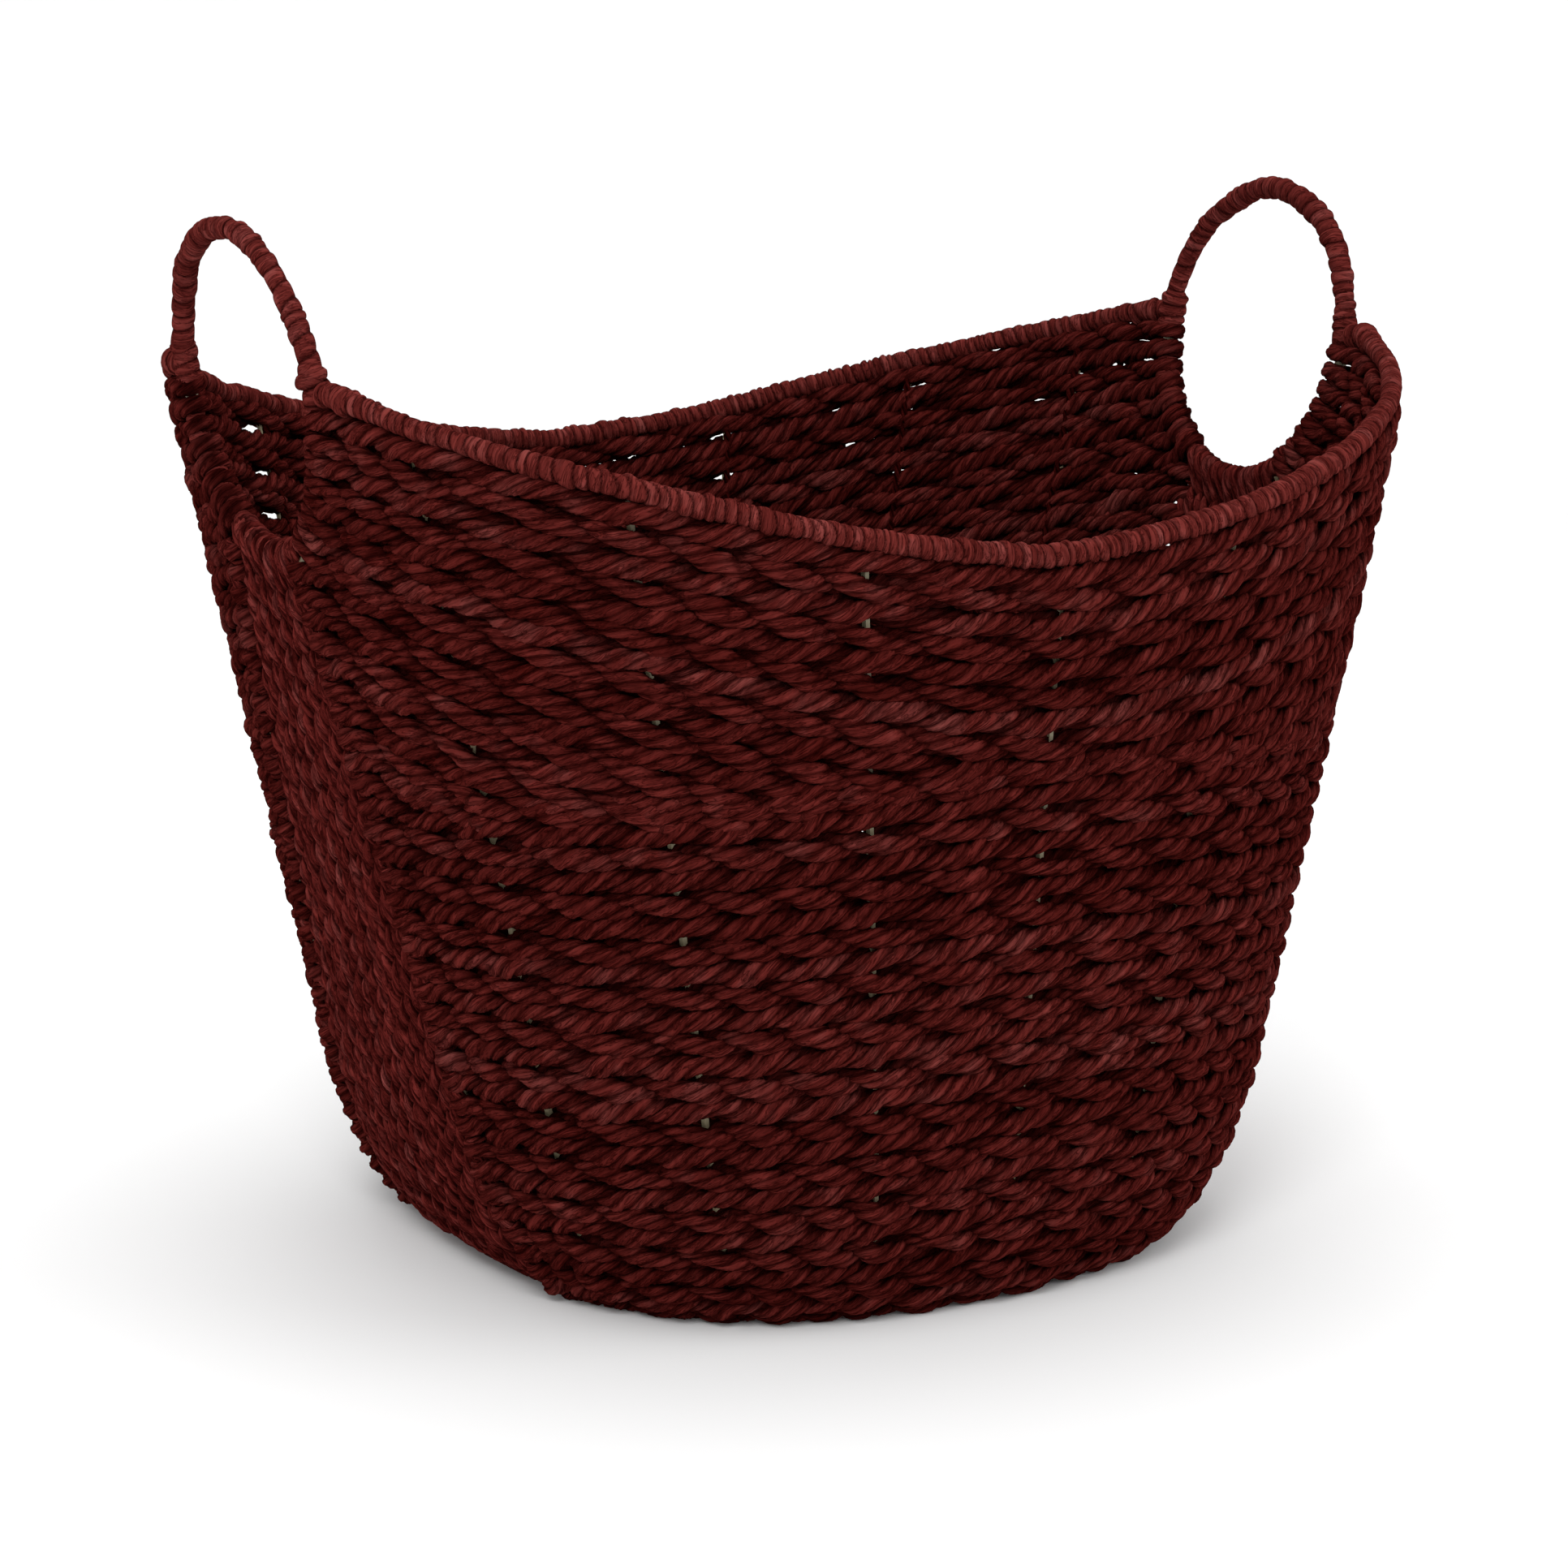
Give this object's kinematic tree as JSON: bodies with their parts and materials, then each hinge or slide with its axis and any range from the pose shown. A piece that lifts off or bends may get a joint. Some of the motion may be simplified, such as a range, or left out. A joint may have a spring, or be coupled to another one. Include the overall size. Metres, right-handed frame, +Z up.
{
  "type": "log basket",
  "caption": "Boat-shaped log basket of twined paper rope on a wire frame, low at the middle of its sides, with a round wrapped carrying ring in each end.",
  "frame": {"origin": "middle of the base's underside, on the floor", "axes": "+Z up, +X along the basket's length towards the right-hand ring, -Y to the front side"},
  "size_m": [0.5072, 0.4244, 0.4315],
  "materials": {
    "woven_rope": "matte twisted paper rope, dyed burgundy",
    "wrapping": "matte crepe paper wrapping, dyed burgundy",
    "frame_wire": "dull beige-olive paint"
  },
  "bodies": {
    "root": {"rib_1": "frame_wire", "rib_2": "frame_wire", "rib_3": "frame_wire", "rib_4": "frame_wire", "rib_5": "frame_wire", "rib_6": "frame_wire", "rib_7": "frame_wire", "rim_wire_front": "frame_wire", "rim_wire_back": "frame_wire", "ring_wire_left": "frame_wire", "ring_wire_right": "frame_wire", "band_wire_front": "frame_wire", "band_wire_back": "frame_wire", "side_weave_front": "woven_rope", "side_weave_back": "woven_rope", "end_weave_left": "woven_rope", "end_weave_right": "woven_rope", "base_weave": "woven_rope", "rim_wrap_front": "wrapping", "rim_wrap_back": "wrapping", "handle_wrap_left": "wrapping", "handle_wrap_right": "wrapping", "notch_wrap_left": "wrapping", "notch_wrap_right": "wrapping", "lashing_front_left": "wrapping", "lashing_front_right": "wrapping", "lashing_back_left": "wrapping", "lashing_back_right": "wrapping"}
  },
  "joints": []
}
